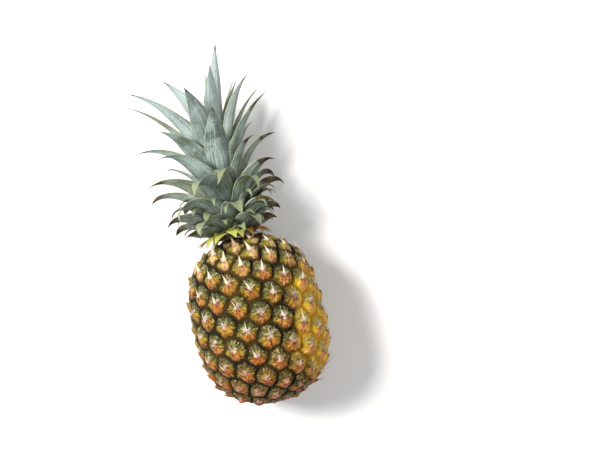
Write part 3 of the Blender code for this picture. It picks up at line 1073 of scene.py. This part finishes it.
class LowLeaf(Leaf):
    """A short leaf between the crown's lower leaves, with its tip bent over."""

    def __init__(self, number):
        dice = random.Random(LOW_LEAF_SEED + number)
        share = number / (LOW_LEAF_COUNT - 1)
        self.azimuth = LOW_LEAF_PHASE + number * LEAF_TURN
        self.foot = (2 + 17 * share) * MM
        self.length = (27 + 22 * share + dice.uniform(-3, 3)) * MM
        self.half_width = dice.uniform(6.0, 8.5) * MM
        self.clasp = 0.62
        self.lean = math.radians(66 - 20 * share + dice.uniform(-5, 5))
        self.turn = math.radians(dice.uniform(40, 60))
        self.hook = math.radians(dice.uniform(30, 60))
        self.curl = math.radians(dice.uniform(40, 100))
        self.bend = LOW_LEAF_BEND
        self.twist = dice.uniform(-0.4, 0.4)
        self.sway = dice.uniform(-8, 8) * MM
        self.half_thickness = 0.5 * MM
        self.blunt = 2.2
        self.channel = 0.3
        self.wave = dice.uniform(0.5, 1.2) * MM
        self.wave_phase = dice.uniform(0, 6)
        self.tone = (dice.random(), 0.30 * share)
        self.trace()


def make_leaves():
    """The crown's leaves, each in place of its plain one, and the small ones between them."""
    material = leaf_material()
    for number in range(LEAF_COUNT):
        bm = blade_mesh()
        leaf = Leaf(number)
        add_blade(bm, BROAD_SECTION, LEAF_STATIONS, leaf.skin_point, leaf.tone)
        close_tips(bm)
        name = f"leaf_{number + 1:02d}"
        add_piece("crown_" + name, bm, material, "leaf", name)
    bm = blade_mesh()
    for number in range(LOW_LEAF_COUNT):
        leaf = LowLeaf(number)
        add_blade(bm, NECK_SECTION, LOW_LEAF_STATIONS, leaf.skin_point, leaf.tone)
    close_tips(bm)
    add_piece("low_leaves", bm, material, "leaf")
    bm = blade_mesh()
    for number in range(NECK_LEAF_COUNT):
        leaf = NeckLeaf(number)
        add_blade(bm, NECK_SECTION, NECK_LEAF_STATIONS, leaf.skin_point, leaf.tone)
    close_tips(bm)
    add_piece("neck_leaves", bm, neck_leaf_material(), "leaf")


def leaf_material():
    """A leaf: waxy blue-grey green with a pale bloom, fine veins, pale edges, a dried tip and
    painted shade at its foot.

    Lower leaves are darker and greener, and leaves on the right take that darker tone as painted
    shade. Some leaves are olive, and the inner face is paler.
    """
    leaf = Finish("crown_leaf", Specular_IOR_Level=0.3)
    side, along, _ = leaf.map_pair("blade")
    chance, rank, _ = leaf.map_pair("tone")
    inside = rank.step(1.4, 1.6)
    rank = rank - inside * INSIDE_TONE
    edge = abs(side - 0.5) * 2.0
    place = leaf.place()
    veins = leaf.noise(leaf.join(side * 26.0, along * 1.2, chance * 60.0), 1.6, 3.0, 0.6)
    cloud = leaf.noise(place, 45.0, 3.0)
    fine = leaf.noise(place, 420.0, 4.0, 0.7)
    bloom = (cloud + (fine - 0.5) * 0.5).step(0.30, 0.70)
    stripes = leaf.noise(leaf.join(side * 4.0, along * 0.5, chance * 90.0), 1.0, 2.0)
    colour = leaf.mix(bloom, shade(72, 90, 78), shade(162, 182, 176))
    olive = chance.step(0.50, 0.95) * 0.65
    colour = leaf.lay(colour, olive, bloom, (68, 74, 38), (132, 138, 90))
    colour = leaf.mix(rank.step(0.60, 0.95) * 0.65, colour, shade(190, 202, 206))
    colour = leaf.mix(rank.step(0.45, 0.05) * 0.55, colour, shade(66, 74, 40))
    colour = leaf.mix((veins - 0.5).at_least(0.0) * 2.6, colour, shade(206, 218, 212))
    colour = leaf.mix((0.5 - veins).at_least(0.0) * 3.2, colour, shade(44, 60, 44))
    striped = stripes.step(0.55, 0.66) * along.step(0.35, 0.70)
    colour = leaf.mix(striped * 0.55, colour, shade(112, 108, 50))
    colour = leaf.lay(colour, inside * 0.65, bloom, (116, 132, 84), (196, 206, 170))
    # Painted shade: darker towards the foot, where the leaf is buried in the crown.
    colour = leaf.mix(along.step(0.55, 0.12) * 0.80, colour, shade(44, 56, 28))
    by_edge = edge.step(0.84, 0.90) * edge.step(0.98, 0.94)
    colour = leaf.mix(by_edge * 0.5, colour, shade(70, 84, 56))
    colour = leaf.mix(edge.step(0.92, 0.98) * 0.85, colour, shade(204, 210, 172))
    wilt = leaf.noise(place, 120.0)
    start = 0.95 - (0.60 - rank).at_least(0.0) * 0.42 - chance * 0.08
    dried = (along - start + (wilt - 0.5) * 0.16).step(0.0, 0.06) * (1.0 - inside * 0.8)
    colour = leaf.lay(colour, dried, wilt.step(0.35, 0.65), (24, 20, 14), (104, 88, 52))
    lining = leaf.mix(veins, shade(88, 108, 62), shade(188, 200, 156))
    lining = leaf.mix(cloud.step(0.42, 0.62) * 0.6, lining, shade(92, 100, 60))
    colour = leaf.mix(inside * along.step(1.0, 0.90) * 0.75, colour, lining)
    spots = leaf.noise(place, 260.0, 2.0).step(0.64, 0.72) * 0.6
    colour = leaf.mix(spots, colour, shade(88, 84, 52))
    rough = 0.45 + bloom * 0.16
    return leaf.finish(colour, rough, veins, 0.0004, 0.8)


def neck_leaf_material():
    """Neck leaves: yellow-green to ochre, brown and dry towards the edges and the tip."""
    leaf = Finish("neck_leaf", Specular_IOR_Level=0.3)
    side, along, _ = leaf.map_pair("blade")
    chance, _, _ = leaf.map_pair("tone")
    edge = abs(side - 0.5) * 2.0
    veins = leaf.noise(leaf.join(side * 16.0, along * 1.5, chance * 60.0), 1.6, 3.0, 0.6)
    cloud = leaf.noise(leaf.place(), 160.0, 3.0)
    fresh = leaf.mix(veins, shade(132, 142, 44), shade(222, 218, 118))
    dry = leaf.mix(veins, shade(120, 72, 26), shade(226, 160, 70))
    colour = leaf.mix(chance.step(0.45, 0.75), fresh, dry)
    colour = leaf.mix(along.step(0.35, 0.0) * 0.6, colour, shade(84, 92, 40))
    worn = (edge + along * 0.4 + (cloud - 0.5) * 1.2).step(0.95, 1.25)
    colour = leaf.mix(worn * 0.8, colour, shade(104, 70, 34))
    return leaf.finish(colour, 0.55, veins, 0.0003, 0.8)


def finish_stem():
    """The crown's stem keeps its CAD form and gets a fibrous olive surface, darker than its own
    pale green as painted shade under the leaves.
    """
    stem = Finish("crown_stem", roughness=0.7)
    fibres = stem.noise(stem.place(), 300.0, 4.0)
    # Painted shade: dark olive, as the stem sits in the shade of the leaves.
    colour = stem.mix(fibres, shade(80, 76, 36), shade(134, 128, 72))
    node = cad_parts["crown_stem"]
    node.data.materials.clear()
    node.data.materials.append(stem.finish(colour, None, fibres, 0.0004))


# ---------------------------------------------------------------- floor, light and camera


def make_stage():
    """A white floor, soft light mostly from the upper left and the camera straight above."""
    bm = bmesh.new()
    bmesh.ops.create_grid(bm, x_segments=1, y_segments=1, size=FLOOR_SIZE)
    mesh = bpy.data.meshes.new("floor")
    bm.to_mesh(mesh)
    bm.free()
    floor = bpy.data.objects.new("floor", mesh)
    white = Finish("floor", roughness=0.9, Specular_IOR_Level=0.0)
    mesh.materials.append(white.finish(shade(248, 248, 248)))
    bpy.context.scene.collection.objects.link(floor)

    add_light("key", *KEY_LIGHT)
    add_light("fill", *FILL_LIGHT)
    world = bpy.data.worlds.new("studio")
    bpy.context.scene.world = world
    world.use_nodes = True
    background = world.node_tree.nodes["Background"]
    background.inputs["Color"].default_value = SKY_COLOUR
    background.inputs["Strength"].default_value = SKY_STRENGTH * LIGHT_GAIN

    camera = bpy.data.objects.new("camera", bpy.data.cameras.new("camera"))
    camera.location = (*VIEW_CENTRE, CAMERA_HEIGHT)
    camera.rotation_euler = (0.0, 0.0, VIEW_ROLL)
    camera.data.sensor_width = SENSOR_WIDTH
    camera.data.lens = SENSOR_WIDTH * (CAMERA_HEIGHT - AXIS_HEIGHT) / VIEW_WIDTH_AT_AXIS
    bpy.context.scene.collection.objects.link(camera)
    bpy.context.scene.camera = camera
    bpy.context.scene.view_settings.view_transform = "Standard"


def add_light(name, place, size, power, colour):
    """Adds a square light that points at the middle of the fruit."""
    lamp = bpy.data.lights.new(name, "AREA")
    lamp.size = size
    lamp.energy = power * LIGHT_GAIN
    lamp.color = colour
    light = bpy.data.objects.new(name, lamp)
    light.location = place
    towards = Vector(LIGHT_AIM) - Vector(place)
    light.rotation_euler = towards.to_track_quat("-Z", "Y").to_euler()
    bpy.context.scene.collection.objects.link(light)


def main():
    fruit = Fruit()
    centres = fruit.eye_centres()
    cells = eye_cells(centres)
    eyes = Eyes(fruit, centres)
    make_skin(fruit, eyes, cells)
    make_spines(eyes)
    make_leaves()
    finish_stem()
    make_stage()


main()
